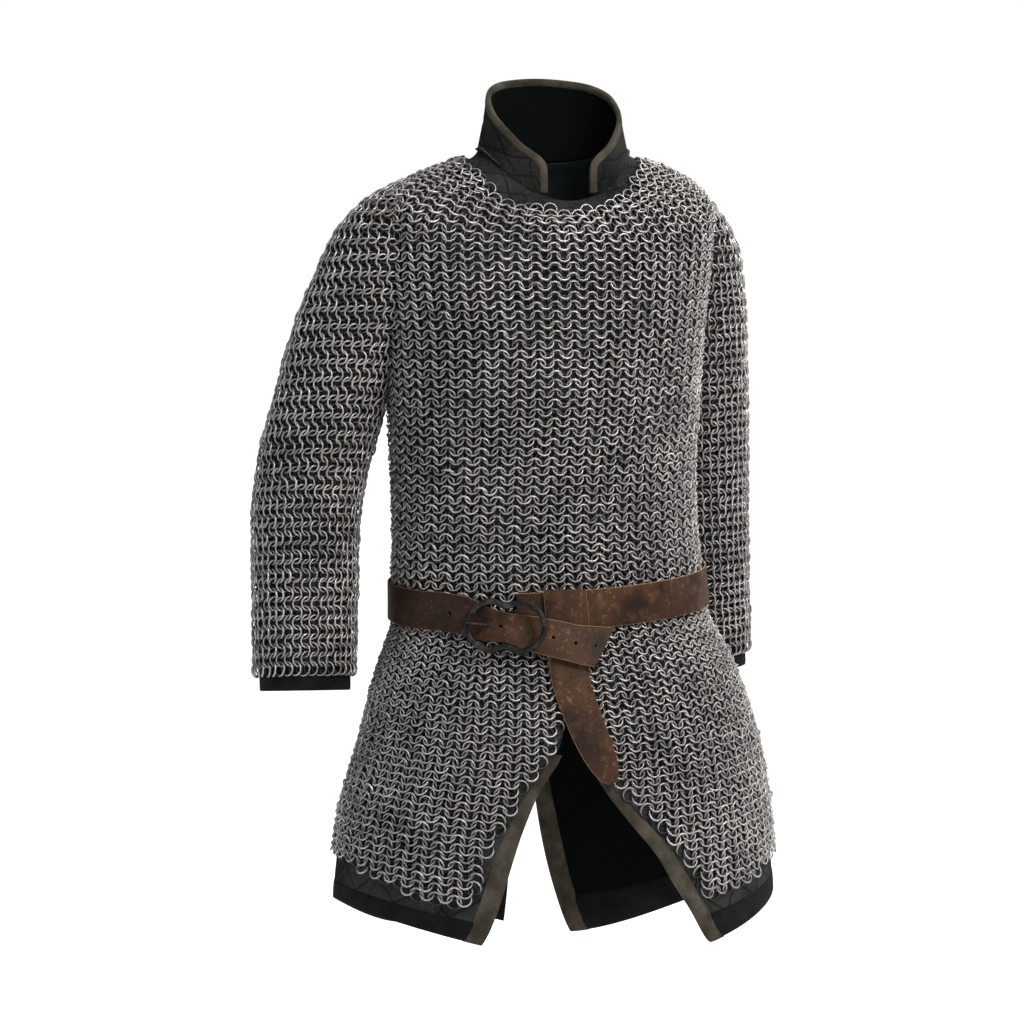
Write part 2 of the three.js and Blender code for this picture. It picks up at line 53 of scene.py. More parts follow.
def makeCamera():
    camera = bpy.data.objects.new("camera", bpy.data.cameras.new("camera"))
    bpy.context.scene.collection.objects.link(camera)
    a = math.radians(view["azimuth"])
    aim = Vector((math.cos(a), math.sin(a), 0)) * view["aimRight"] + Vector((0, 0, view["aimUp"]))
    back = viewVector(view["azimuth"], view["elevation"])
    camera.location = aim + back * view["distance"]
    camera.rotation_euler = (-back).to_track_quat("-Z", "Y").to_euler()
    camera.data.lens = view["lens"]
    camera.data.clip_end = 100
    bpy.context.scene.camera = camera


def makeLight(name, azimuth, elevation, distance, size, power, colour):
    data = bpy.data.lights.new(name, "AREA")
    data.shape, data.size, data.energy, data.color = "DISK", size, power, colour
    light = bpy.data.objects.new(name, data)
    bpy.context.scene.collection.objects.link(light)
    away = viewVector(azimuth, elevation)
    light.location = away * distance + Vector((0, 0, -0.45))
    light.rotation_euler = (-away).to_track_quat("-Z", "Y").to_euler()


def makeWorld():
    world = bpy.data.worlds.new("studio")
    bpy.context.scene.world = world
    world.use_nodes = True
    tree = world.node_tree
    tree.nodes.clear()
    ray = tree.nodes.new("ShaderNodeLightPath")
    lit = tree.nodes.new("ShaderNodeBackground")
    lit.inputs["Color"].default_value = (0.93, 0.96, 1, 1)
    lit.inputs["Strength"].default_value = lighting["worldLight"]
    seen = tree.nodes.new("ShaderNodeBackground")
    seen.inputs["Color"].default_value = (1, 1, 1, 1)
    mix = tree.nodes.new("ShaderNodeMixShader")
    out = tree.nodes.new("ShaderNodeOutputWorld")
    tree.links.new(ray.outputs["Is Camera Ray"], mix.inputs[0])
    tree.links.new(lit.outputs[0], mix.inputs[1])
    tree.links.new(seen.outputs[0], mix.inputs[2])
    tree.links.new(mix.outputs[0], out.inputs[0])


makeCamera()
makeWorld()
makeLight("key", 24, 42, 3.2, 1.3, lighting["key"], (1, 0.97, 0.94))
makeLight("fill", -75, 12, 3.4, 1.8, lighting["fill"], (0.82, 0.9, 1))
makeLight("rim", 118, 28, 3.0, 1.4, lighting["rim"], (1, 0.98, 0.96))
makeLight("top", -10, 80, 2.6, 1.6, lighting["top"], (1, 1, 1))
bpy.context.scene.view_settings.view_transform = "Standard"
print("camera and lights set")


# Shader maths: a wire is a value in a material's nodes
class Wire:
    def __init__(self, finish, socket):
        self.finish, self.socket = finish, socket

    def math(self, operation, *others):
        inputs = {0: self, **{n + 1: other for n, other in enumerate(others)}}
        return self.finish.add("ShaderNodeMath", {"operation": operation}, inputs)

    def __add__(self, other):
        return self.math("ADD", other)

    def __radd__(self, other):
        return self.math("ADD", other)

    def __sub__(self, other):
        return self.math("SUBTRACT", other)

    def __rsub__(self, other):
        return self.finish.add("ShaderNodeMath", {"operation": "SUBTRACT"}, {0: other, 1: self})

    def __mul__(self, other):
        return self.math("MULTIPLY", other)

    def __rmul__(self, other):
        return self.math("MULTIPLY", other)

    def __truediv__(self, other):
        return self.math("DIVIDE", other)

    def most(self, other):
        return self.math("MAXIMUM", other)

    def ramp(self, low, high):  # 0 under low, 1 over high
        return self.finish.add("ShaderNodeMapRange", {"interpolation_type": "SMOOTHSTEP"},
                               {"Value": self, "From Min": low, "From Max": high})

    def band(self, pitch, width):  # 1 on lines a pitch apart, fading out over a width
        return 1 - (self / pitch + 0.5).math("FRACT").math("SUBTRACT", 0.5).math(
            "ABSOLUTE").ramp(0, width / pitch)


class Finish:
    def __init__(self, name):
        self.material = bpy.data.materials.new(name)
        self.material.use_nodes = True
        self.tree = self.material.node_tree
        self.tree.nodes.clear()
        self.coords = self.add("ShaderNodeTexCoord", {}, {}, "Object")

    def add(self, kind, settings, inputs, output=0):
        node = self.tree.nodes.new(kind)
        for key, value in settings.items():
            setattr(node, key, value)
        for key, value in inputs.items():
            if isinstance(value, Wire):
                self.tree.links.new(value.socket, node.inputs[key])
            else:
                node.inputs[key].default_value = value
        return Wire(self, node.outputs[output] if node.outputs else None)

    def noise(self, scale, detail=3):
        return self.add("ShaderNodeTexNoise", {}, {
            "Vector": self.coords, "Scale": scale, "Detail": detail})

    def mix(self, factor, first, second):
        return self.add("ShaderNodeMix", {"data_type": "RGBA"},
                        {"Factor": factor, 6: first, 7: second}, 2)

    def cloth(self):  # place on the cloth along and down its weave, in metres
        uv = self.add("ShaderNodeUVMap", {"uv_map": "cloth"}, {})
        return (self.add("ShaderNodeSeparateXYZ", {}, {0: uv}, "X"),
                self.add("ShaderNodeSeparateXYZ", {}, {0: uv}, "Y"))

    def bump(self, height, distance, strength=1.0):
        return self.add("ShaderNodeBump", {}, {
            "Height": height, "Distance": distance, "Strength": strength})

    def finishWith(self, colour, roughness, metallic=0.0, normal=None, fixed=None):
        inputs = {"Base Color": colour, "Roughness": roughness, "Metallic": metallic,
                  **(fixed or {})}
        if normal:
            inputs["Normal"] = normal
        shader = self.add("ShaderNodeBsdfPrincipled", {}, inputs)
        self.add("ShaderNodeOutputMaterial", {}, {"Surface": shader})
        return self.material


def steelRings():
    steel = Finish("steelRings")
    tone = steel.add("ShaderNodeAttribute", {"attribute_name": "tone"}, {}, "Fac")
    proud = steel.add("ShaderNodeAttribute", {"attribute_name": "proud"}, {}, "Fac").ramp(-0.75, 0.55)
    patch = steel.noise(14, 3).ramp(0.35, 0.7)
    grain = steel.noise(900, 2)
    level = (tone * 0.75 + patch * 0.25).most(0)
    colour = steel.mix(level, (0.1, 0.096, 0.095, 1), (0.66, 0.63, 0.605, 1))
    # rings darkened toward their sunken inner arcs: painted shade in the recesses between rings,
    # together with some dark patina there
    colour = steel.mix((1 - proud) * 0.9, colour, (0.035, 0.033, 0.033, 1))
    rust = steel.noise(38, 4).ramp(0.62, 0.76) * 0.35
    colour = steel.mix(rust, colour, (0.15, 0.1, 0.075, 1))
    roughness = 0.44 + grain * 0.2 - proud * 0.06
    return steel.finishWith(colour, roughness, 0.85, steel.bump(grain, 0.0003, 0.4))


def coatCloth(name, base, light, quilted, stitched=0.0):
    cloth = Finish(name)
    across, down = cloth.cloth()
    weave = (across * 4400).math("SINE") * (down * 4400).math("SINE")
    slub = cloth.noise(260, 4)
    patch = cloth.noise(18, 4).ramp(0.3, 0.72)
    colour = cloth.mix(patch * 0.75, (*base, 1), (*light, 1))
    colour = cloth.mix(slub.ramp(0.45, 0.75) * 0.35, colour, (*(c * 1.5 for c in light), 1))
    height = weave * 0.5 + slub * 0.6
    if quilted:
        wander = cloth.noise(5, 1) * 0.006
        lines = (across + down + wander).band(quilted, 0.0011).most(
            (across - down + wander).band(quilted, 0.0011))
        shadedFurrow = (across + down + wander).band(quilted, 0.006).most(
            (across - down + wander).band(quilted, 0.006))
        # fabric darkened along the quilting furrows: painted shade in the furrows
        colour = cloth.mix(shadedFurrow * 0.5 * stitched, colour, (*(c * 0.45 for c in base), 1))
        colour = cloth.mix(lines * 0.9 * stitched, colour, (0.001, 0.001, 0.001, 1))
        height = height - lines * 1.4 * stitched - shadedFurrow * 1.2 * stitched
    return cloth.finishWith(colour, 0.9 + slub * 0.1, 0.0, cloth.bump(height, 0.0007, 0.8),
                            {"Specular IOR Level": 0.08})


def bindingCloth(name, base, light):
    cloth = Finish(name)
    across, down = cloth.cloth()
    weave = (across * 3600).math("SINE") * (down * 3600).math("SINE")
    speck = cloth.noise(700, 3)
    patch = cloth.noise(40, 4).ramp(0.3, 0.75)
    colour = cloth.mix(patch * 0.8, (*base, 1), (*light, 1))
    colour = cloth.mix(speck.ramp(0.56, 0.7) * 0.65, colour, (*(c * 0.25 for c in base), 1))
    fromSeam = (down - 0.0024).math("ABSOLUTE")
    stitches = across.band(0.0042, 0.0016) * (1 - fromSeam.ramp(0.0002, 0.0009))
    seam = 1 - fromSeam.ramp(0.0002, 0.0016)
    colour = cloth.mix(seam * 0.6, colour, (0.012, 0.011, 0.01, 1))
    colour = cloth.mix(stitches * 0.8, colour, (0.05, 0.045, 0.038, 1))
    height = weave * 0.4 + speck * 0.8 - seam * 1.2
    return cloth.finishWith(colour, 0.85, 0.0, cloth.bump(height, 0.0007, 0.8),
                            {"Specular IOR Level": 0.12})


def wornShadedLeather():
    hide = Finish("wornShadedLeather")
    across, down = hide.cloth()
    patch = hide.noise(26, 5).ramp(0.32, 0.7)
    fleck = hide.noise(210, 4).ramp(0.56, 0.7)
    scuff = hide.noise(75, 5).ramp(0.5, 0.72)
    colour = hide.mix(patch, (0.013, 0.0055, 0.003, 1), (0.05, 0.0215, 0.0098, 1))
    colour = hide.mix(scuff * 0.5, colour, (0.105, 0.052, 0.021, 1))
    colour = hide.mix(fleck * patch * 0.5, colour, (0.2, 0.115, 0.052, 1))
    rub = hide.noise(120, 3) * 0.0132
    edge = 1 - (0.5 - (down - 0.5).math("ABSOLUTE") - rub).ramp(0.005, 0.035)
    colour = hide.mix(edge * 0.8, colour, (0.3, 0.175, 0.075, 1))
    # darker towards -X: painted shade on the side of the belt turned away from the key light
    side = hide.add("ShaderNodeSeparateXYZ", {}, {0: hide.coords}, "X")
    colour = hide.mix((1 - side.ramp(-0.16, -0.03)) * 0.6, colour, (0.009, 0.004, 0.0024, 1))
    pores = hide.add("ShaderNodeTexVoronoi", {}, {"Vector": hide.coords, "Scale": 900})
    height = pores * 0.5 + scuff * 0.7 + patch * 0.4
    return hide.finishWith(colour, 0.55 + scuff * 0.25, 0.0, hide.bump(height, 0.0006, 0.7),
                           {"Specular IOR Level": 0.16})


def forgedIron():
    iron = Finish("forgedIron")
    dents = iron.noise(130, 3)
    scale = iron.noise(420, 4)
    worn = iron.noise(60, 3).ramp(0.5, 0.75)
    colour = iron.mix(worn * 0.7, (0.018, 0.018, 0.019, 1), (0.1, 0.095, 0.09, 1))
    colour = iron.mix(scale.ramp(0.55, 0.72) * 0.4, colour, (0.07, 0.045, 0.03, 1))
    height = dents * 1.4 + scale * 0.4
    return iron.finishWith(colour, 0.38 + scale * 0.3, 0.85, iron.bump(height, 0.0016, 0.8))


def paleFloor():
    floor = Finish("paleFloor")
    seen = floor.add("ShaderNodeLightPath", {}, {}, "Is Camera Ray")
    glow = floor.mix(seen, (0.45, 0.45, 0.45, 1), (1, 1, 1, 1))
    return floor.finishWith((0.9, 0.9, 0.9, 1), 0.9, 0.0, None,
                            {"Emission Color": glow, "Emission Strength": 0.9})


finishes = {
    "steel": steelRings(),
    "collar": coatCloth("collarCloth", (0.0095, 0.0115, 0.0105), (0.036, 0.0345, 0.03), 0.07, 1),
    "coat": coatCloth("coatCloth", (0.012, 0.0132, 0.0138), (0.05, 0.052, 0.052), 0.075, 1),
    "slate": coatCloth("slateLining", (0.034, 0.046, 0.052), (0.05, 0.064, 0.07), 0),
    # a near-black copy of the lining for the skirt, sleeve and collar insides: painted shade inside
    # the hollow garment
    "paintedShadeLining": coatCloth("paintedShadeLining", (0.0008, 0.0012, 0.0013), (0.0018, 0.0026, 0.0028), 0),
    "binding": bindingCloth("bindingCloth", (0.04, 0.034, 0.024), (0.125, 0.108, 0.084)),
    # the binding darkened almost to black for the hem bands, cuffs and back right edging: painted
    # shade
    "hemBand": bindingCloth("hemBandCloth", (0.004, 0.0042, 0.004), (0.015, 0.0145, 0.013)),
    "leather": wornShadedLeather(),
    "iron": forgedIron(),
}


# Garment surfaces
bodyRings = [  # front, side and back heights, half width, front and back depth, shift, turn
    [-46, 10, -2, 90, 73, 63, 0, 0], [-53, 2, -8, 97, 80, 70, 0, 0],
    [-62, -12, -18, 133, 90, 82, -2, -1], [-78, -30, -38, 173, 101, 96, -4, 4],
    [-105, -58, -68, 198, 111, 107, -6, 6], [-150, -112, -117, 197, 118, 113, -8, 6],
    [-205, -190, -192, 189, 122, 114, -9, 6], [-270, -265, -265, 183, 122, 112, -9.5, 5],
    [-345, -345, -345, 177, 119, 108, -9.5, 3], [-410, -410, -410, 176, 119, 107, -8, 1],
    [-452, -452, -452, 178, 123, 110, -6, 0], [-484, -484, -484, 179.5, 124.4, 111.8, -4, 0],
    [-516, -516, -516, 183, 127, 115, -1, 0], [-573, -573, -573, 208, 148, 130, 5, 0],
    [-652, -650, -652, 231, 167, 144, 8, 0], [-735, -725, -740, 249, 180, 152, 4, 0],
    [-815, -785, -830, 257, 186, 155, 3, 0], [-880, -825, -912, 260, 189, 157, 3, 0],
]
ringAt = {"coatTop": 0, "mailTop": 1, "waist": 11, "mailHem": 16.08, "bandTop": 16.35, "hem": 17}
walls = {"mailMiddle": -3 * mm, "coat": -6.45 * mm, "coatThickness": 3 * mm}
frontSplit = [  # ring number, then the angle of each edge
    [11, -0.1, 0.1], [13.2, -7.9, -7.4], [13.95, -11, -4.2], [14.4, -16.5, 0.7],
    [14.92, -20.2, 9], [15.36, -22.6, 15.9], [15.74, -24.5, 20], [16.3, -27.2, 26], [17, -30.3, 31.6],
]
backSplit = [
    [11, 179.9, 180.1], [13.6, 178.9, 179.2], [14.4, 177.2, 180.2],
    [15.15, 175.2, 181.4], [16, 171.6, 182.6], [17, 165.7, 183.8],
]
cornerLifts = [[-33, 13, 4], [192, 30, 20]]  # hem corners that hang short: angle, rise, sharpness
edging = {"width": 15, "thickness": 5, "mailSetback": 19, "top": 13.95}
sleevePaths = {  # middle of the sleeve, then its half width and half depth
    "right": [
        [-96, -2, -66, 40, 40], [-146, -3, -74, 52, 52], [-190, 2, -106, 58, 57],
        [-215, 12, -162, 60, 59], [-234, 20, -215, 61, 60], [-249, 28, -275, 61.5, 60],
        [-266, 36, -342, 61, 59], [-274, 38, -405, 60, 58], [-276, 34, -480, 58.5, 57],
        [-278, 28, -545, 57.5, 56], [-279, 22, -592, 57, 55],
    ],
    "left": [
        [96, 18, -66, 40, 40], [140, 26, -76, 50, 51], [172, 38, -108, 56, 56],
        [186, 52, -162, 57, 58], [193, 65, -215, 57, 59], [199, 77, -275, 57, 59],
        [205, 90, -342, 56, 58], [211, 104, -405, 55, 57], [218, 114, -480, 53, 56],
        [224, 120, -545, 51, 55], [227, 120, -592, 50, 54],
    ],
}
sleeveAt = {"mailEnd": 9.702, "tuckEnd": 9.404, "cuffEnd": 9.999}


def smoothRow(rows, at):  # smooth value of a table at a fractional row number
    last = len(rows) - 1
    at = min(max(at, 0), last - 1e-6)
    i = int(at)
    t = at - i
    a, b, c, d = (rows[min(max(k, 0), last)] for k in (i - 1, i, i + 1, i + 2))
    return [0.5 * (2 * q + (r - p) * t + (2 * p - 5 * q + 4 * r - s) * t * t
                   + (3 * q - p - 3 * r + s) * t ** 3) for p, q, r, s in zip(a, b, c, d)]


def smoothKey(table, key):  # smooth value of a table whose first column is the key
    key = min(max(key, table[0][0]), table[-1][0])
    i = max(n for n in range(len(table) - 1) if table[n][0] <= key)
    low, high = table[i], table[i + 1]
    span = high[0] - low[0]
    t = (key - low[0]) / span
    values = []
    for n in range(1, len(low)):
        before, after = table[max(i - 1, 0)], table[min(i + 2, len(table) - 1)]
        slopeLow = (high[n] - before[n]) / (high[0] - before[0]) * span
        slopeHigh = (after[n] - low[n]) / (after[0] - low[0]) * span
        values.append((2 * t ** 3 - 3 * t * t + 1) * low[n] + (t ** 3 - 2 * t * t + t) * slopeLow
                      + (3 * t * t - 2 * t ** 3) * high[n] + (t ** 3 - t * t) * slopeHigh)
    return values


def smoothstep(x, low, high):
    t = min(max((x - low) / (high - low), 0), 1)
    return t * t * (3 - 2 * t)


def hemRise(angle, row):
    return smoothstep(row, 16, ringAt["hem"]) * sum(
        rise * math.exp(sharpness * (math.cos(angle - math.radians(at)) - 1))
        for at, rise, sharpness in cornerLifts)


def bodyFace(angle, row):  # outer face of the mail
    zFront, zSide, zBack, half, front, back, shift, turn = smoothRow(bodyRings, row)
    s, c = math.sin(angle), math.cos(angle)
    z = zSide + ((zFront if c > 0 else zBack) - zSide) * c * c + hemRise(angle, row)
    x, y, t = half * s, -(front if c > 0 else back) * c, math.radians(turn)
    return Vector((x * math.cos(t) - y * math.sin(t) + shift,
                   x * math.sin(t) + y * math.cos(t), z)) * mm


def bodyFrame(angle, row):  # point, direction round the body, direction out
    around = bodyFace(angle + 0.01, row) - bodyFace(angle - 0.01, row)
    down = (bodyFace(angle, min(row + 0.02, ringAt["hem"] - 0.001))
            - bodyFace(angle, max(row - 0.02, 0)))
    return bodyFace(angle, row), around.normalized(), down.cross(around).normalized()


def bodyPoint(angle, row, offset):
    point, _, out = bodyFrame(angle, row)
    return point + out * offset


def sleeveFrame(side, at, turn):  # point on the sleeve's face, direction down it, direction out
    path = sleevePaths[side]
    x, y, z, halfWidth, halfDepth = smoothRow(path, at)
    a, b = smoothRow(path, at - 0.05), smoothRow(path, at + 0.05)
    along = Vector([q - p for p, q in zip(a[:3], b[:3])]).normalized()
    across = Vector((0, 1, 0)).cross(along).normalized()
    fore = along.cross(across)
    out = (across * math.cos(turn) - fore * math.sin(turn)).normalized()
    face = (Vector((x, y, z)) + across * math.cos(turn) * halfWidth
            - fore * math.sin(turn) * halfDepth) * mm
    return face, along, out


def sleevePoint(side, at, turn, offset):
    face, _, out = sleeveFrame(side, at, turn)
    return face + out * offset


# Mesh helpers
def addObject(name, mesh, *materials):
    piece = bpy.data.objects.new(name, mesh)
    bpy.context.scene.collection.objects.link(piece)
    for material in materials:
        piece.data.materials.append(finishes[material])
    return piece


def settleModifiers(piece):  # leaves the result of the modifiers as the piece's own mesh
    graph = bpy.context.evaluated_depsgraph_get()
    graph.update()
    old = piece.data
    piece.data = bpy.data.meshes.new_from_object(piece.evaluated_get(graph), depsgraph=graph)
    piece.modifiers.clear()
    bpy.data.meshes.remove(old)


def markSharp(piece, degrees):  # keeps cut edges crisp under smooth shading
    bm = bmesh.new()
    bm.from_mesh(piece.data)
    for edge in bm.edges:
        edge.smooth = not edge.is_manifold or edge.calc_face_angle() < math.radians(degrees)
    bm.to_mesh(piece.data)
    bm.free()


def toMesh(bm, name, smooth=True):
    for face in bm.faces:
        face.smooth = smooth
    mesh = bpy.data.meshes.new(name)
    bm.to_mesh(mesh)
    bm.free()
    return mesh


def clothGrid(columns, rows, place, size=(1, 1)):  # place takes shares across and down
    bm = bmesh.new()
    bmesh.ops.create_grid(bm, x_segments=columns, y_segments=rows, size=0.5)
    layer = bm.loops.layers.uv.new("cloth")
    shares = {v: (v.co.x + 0.5, 0.5 - v.co.y) for v in bm.verts}
    for face in bm.faces:
        for loop in face.loops:
            u, v = shares[loop.vert]
            loop[layer].uv = (u * size[0], v * size[1])
    for vert, (u, v) in shares.items():
        vert.co = place(u, v)
    bm.normal_update()
    return bm


def closeEnds(bm):  # welds a grid that is rolled up, fills its ends and turns its faces out
    bmesh.ops.remove_doubles(bm, verts=bm.verts, dist=1e-5)
    ends = [e for e in bm.edges if e.is_boundary]
    if ends:
        bmesh.ops.holes_fill(bm, edges=ends, sides=0)
    bmesh.ops.recalc_face_normals(bm, faces=bm.faces)


def clothSizes(place, columns=24, rows=24):  # width, length and area of a cloth, as it is cut
    points = [[place(i / columns, j / rows) for i in range(columns + 1)]
              for j in range(rows + 1)]
    width = max(sum((b - a).length for a, b in zip(row, row[1:])) for row in points)
    length = max(sum((points[j + 1][i] - points[j][i]).length for j in range(rows))
                 for i in range(columns + 1))
    area = sum((points[j][i + 1] - points[j][i]).cross(points[j + 1][i] - points[j][i]).length
               for j in range(rows)
               for i in range(columns))
    return width, length, area


def shell(name, columns, rows, place, outside, inside, cutters=()):
    size = clothSizes(place)[:2]
    piece = addObject(name, toMesh(clothGrid(columns, rows, place, size), name), outside, inside)
    wall = piece.modifiers.new("wall", "SOLIDIFY")
    wall.thickness, wall.offset, wall.material_offset = walls["coatThickness"], -1, 1
    for cutter in cutters:
        cut = piece.modifiers.new("cut", "BOOLEAN")
        cut.operation, cut.solver, cut.object = "DIFFERENCE", "EXACT", cutter
    settleModifiers(piece)
    return piece


def roundedStrip(name, steps, place, thickness, material, sides=12, square=0.5, closed=False,
                 length=1.0):
    # place takes shares along and across the strip, and a distance out from its middle
    def rounded(u, v):
        turn = 2 * math.pi * v
        c, s = math.cos(turn), math.sin(turn)
        side = 0.5 - 0.5 * math.copysign(abs(c) ** square, c)
        return place(u, side, thickness / 2 * math.copysign(abs(s) ** square, s))
    bm = clothGrid(steps, sides, rounded)
    layer = bm.loops.layers.uv["cloth"]
    for face in bm.faces:
        for loop in face.loops:
            u, v = loop[layer].uv
            loop[layer].uv = (u * length, 0.5 - 0.5 * math.cos(2 * math.pi * v))
    if closed:
        bmesh.ops.remove_doubles(bm, verts=bm.verts, dist=1e-5)
        bmesh.ops.recalc_face_normals(bm, faces=bm.faces)
    else:
        closeEnds(bm)
    return addObject(name, toMesh(bm, name), material)


def settle(piece, node):
    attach(piece, "root")
    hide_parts(node)


# Volumes that the armholes and sleeve tops are cut by
def volume(name, columns, rows, place):
    bm = clothGrid(columns, rows, place)
    closeEnds(bm)
    return addObject(name, toMesh(bm, name))


def bodySkin(offset):
    return lambda u, v: bodyPoint(2 * math.pi * u - math.pi, 13 * v, offset)


def sleeveSkin(side, offset):
    return lambda u, v: sleevePoint(side, sleeveAt["tuckEnd"] * v, 2 * math.pi * u, offset)


coatInside = walls["coat"] - walls["coatThickness"]
bodyCutter = volume("bodyCutter", 96, 52, bodySkin(walls["coat"] - 0.2 * mm))
sleeveCutters = {side: volume(f"{side}Cutter", 48, 60, sleeveSkin(side, coatInside))
                 for side in sleevePaths}


def skinTree(columns, rows, place):
    bm = clothGrid(columns, rows, place)
    tree = BVHTree.FromBMesh(bm)
    bm.free()
    return tree


bodyTree = skinTree(96, 60, bodySkin(walls["mailMiddle"]))
sleeveTrees = {side: skinTree(48, 60, sleeveSkin(side, walls["mailMiddle"]))
               for side in sleevePaths}


def depthIn(tree, point):  # how far a point lies inside a skin
    spot, normal, _, _ = tree.find_nearest(point)
    return (spot - point).dot(normal)


# Coat panels
halves = {"front": (-90, 90), "back": (90, 270)}
quarters = {
    "front_right": (-90, frontSplit, 0), "front_left": (90, frontSplit, 1),
    "back_left": (90, backSplit, 0), "back_right": (270, backSplit, 1),
}


def toCamel(name):
    first, *rest = name.split("_")
    return first + "".join(word.capitalize() for word in rest)


def declareSheet(place):
    width, length, area = clothSizes(place)


def bodyPanel(half, top, offset):
    low, high = (math.radians(a) for a in halves[half])
    return lambda u, v: bodyPoint(low + (high - low) * u, top + (ringAt["waist"] - top) * v,
                                  offset)


for half in halves:
    place = bodyPanel(half, ringAt["coatTop"], walls["coat"])
    piece = shell(toCamel(f"coat_{half}"), 56, 64, place, "coat", "slate", sleeveCutters.values())
    settle(piece, f"coat_{half}")
    declareSheet(place)

for side in sleevePaths:
    def place(u, v, side=side):
        return sleevePoint(side, (sleeveAt["tuckEnd"] - 0.01) * v, 2 * math.pi * u, walls["coat"])
    bm = clothGrid(48, 56, place, clothSizes(place)[:2])
    bmesh.ops.remove_doubles(bm, verts=bm.verts, dist=1e-5)
    piece = addObject(toCamel(f"coat_sleeve_{side}"), toMesh(bm, "sleeve"), "coat", "paintedShadeLining")
    wall = piece.modifiers.new("wall", "SOLIDIFY")
    wall.thickness, wall.offset, wall.material_offset = walls["coatThickness"], -1, 1
    cut = piece.modifiers.new("cut", "BOOLEAN")
    cut.operation, cut.solver, cut.object = "DIFFERENCE", "EXACT", bodyCutter
    settleModifiers(piece)
    settle(piece, f"coat_sleeve_{side}")

    def cuffPlace(u, v, lift, side=side):
        at = sleeveAt["tuckEnd"] + (sleeveAt["cuffEnd"] - sleeveAt["tuckEnd"]) * v
        middle = walls["coat"] - walls["coatThickness"] / 2
        return sleevePoint(side, at, 2 * math.pi * u, middle + lift)
    cuff = roundedStrip(toCamel(f"coat_cuff_{side}"), 64, cuffPlace, walls["coatThickness"],
                        "hemBand", sides=14, closed=True, length=0.34)
    settle(cuff, f"coat_cuff_{side}")
    declareSheet(place)


def splitAngles(table, column, row):  # coat edge, edging's inner edge and mail edge, in radians
    edge = math.radians(smoothKey(table, row)[column])
    toward = -1 if column == 0 else 1
    radius = smoothRow(bodyRings, row)[4]
    opening = smoothstep(row, 13, 15.6)
    inner = edge + toward * (edging["width"] * opening + 0.35) / radius
    mail = edge + toward * (0.4 + (edging["mailSetback"] - 0.4) * opening) / radius
    return edge, inner, mail


def quarterPlace(quarter, bottom, offset, which):
    seam, table, column = quarters[quarter]

    def place(u, v):
        row = ringAt["waist"] + 0.005 + (bottom - ringAt["waist"] - 0.005) * v
        limit = splitAngles(table, column, row)[which]
        start = math.radians(seam)
        a = start + (limit - start) * u if column == 0 else limit + (start - limit) * u
        return bodyPoint(a, row, offset)
    return place


for quarter, (seam, table, column) in quarters.items():
    place = quarterPlace(quarter, ringAt["bandTop"] + 0.12, walls["coat"], 1)
    coat = shell(toCamel(f"coat_skirt_{quarter}"), 40, 64, place, "coat", "paintedShadeLining")
    settle(coat, f"coat_skirt_{quarter}")
    middle = walls["coat"] - walls["coatThickness"] / 2

    def bandPlace(u, v, lift, seam=seam, table=table, column=column):
        row = ringAt["bandTop"] + (16.999 - ringAt["bandTop"]) * v
        limit = splitAngles(table, column, row)[1]
        return bodyPoint(math.radians(seam) + (limit - math.radians(seam)) * u, row, middle + lift)
    band = roundedStrip(toCamel(f"hem_band_{quarter}"), 48, bandPlace, edging["thickness"] * mm,
                        "hemBand", length=0.3)
    settle(band, f"hem_band_{quarter}")

    def edgePlace(u, v, lift, table=table, column=column):
        row = edging["top"] + (16.999 - edging["top"]) * u
        edge, inner, _ = splitAngles(table, column, row)
        inner += math.copysign(1.6 / 150, inner - edge)
        return bodyPoint(inner + (edge - inner) * v, row, middle + lift)
    # the back right edging takes the darkened binding: painted shade on that edge
    cloth = "hemBand" if quarter == "back_right" else "binding"
    bound = roundedStrip(toCamel(f"split_edging_{quarter}"), 60, edgePlace, edging["thickness"] * mm,
                         cloth, sides=16, length=0.26)
    settle(bound, f"split_edging_{quarter}")
    half = quarter.split("_")[0]
    declareSheet(place)
print("coat panels made")


# Stand collar with a bound edge
collarEdge = [  # edge angle from the centre front, edge height, angle at its foot
    [15.5, -42, 23.5], [16, -26, 26], [17.5, -12, 30], [22, -3, 36], [29, 4, 43], [38, 12, 51],
    [52, 27, 62], [70, 43, 76], [90, 59, 92], [106, 70, 107], [130, 80, 130], [155, 85, 155],
    [180, 87, 180],
]
collar = {"top": 90, "halfWidth": 69.5, "front": 64, "back": 60, "thickness": 4,
          "edgingWidth": 9, "edgingThickness": 6, "quiltPitch": 0.07, "quiltDepth": 1.1 * mm}
collarPath = collarEdge + [[360 - a, z, 360 - b] for a, z, b in reversed(collarEdge[:-1])]


def collarPoint(angle, z, offset):
    foot = bodyPoint(angle, 0, walls["coat"] - walls["coatThickness"] / 2) / mm
    rise = min(max((z - foot.z) / (collar["top"] - foot.z), 0), 1)
    s, c = math.sin(angle), math.cos(angle)
    top = Vector((collar["halfWidth"] * s, -(collar["front"] if c > 0 else collar["back"]) * c, z))
    flare = (1 - rise) ** 1.6
    point = Vector((top.x + (foot.x - top.x) * flare, top.y + (foot.y - top.y) * flare, z))
    return point * mm + Vector((s, -c, 0)) * offset


def collarEdgeFrame(u):  # point on the edge, direction out, direction toward the foot
    at = u * (len(collarPath) - 1)

    def onEdge(k):
        a, z, _ = smoothRow(collarPath, min(max(k, 0), len(collarPath) - 1))
        return collarPoint(math.radians(a), z, 0)
    along = (onEdge(at + 0.2) - onEdge(at - 0.2)).normalized()
    angle = math.radians(smoothRow(collarPath, at)[0])
    out = Vector((math.sin(angle), -math.cos(angle), 0.2)).normalized()
    return onEdge(at), out, along.cross(out).normalized()


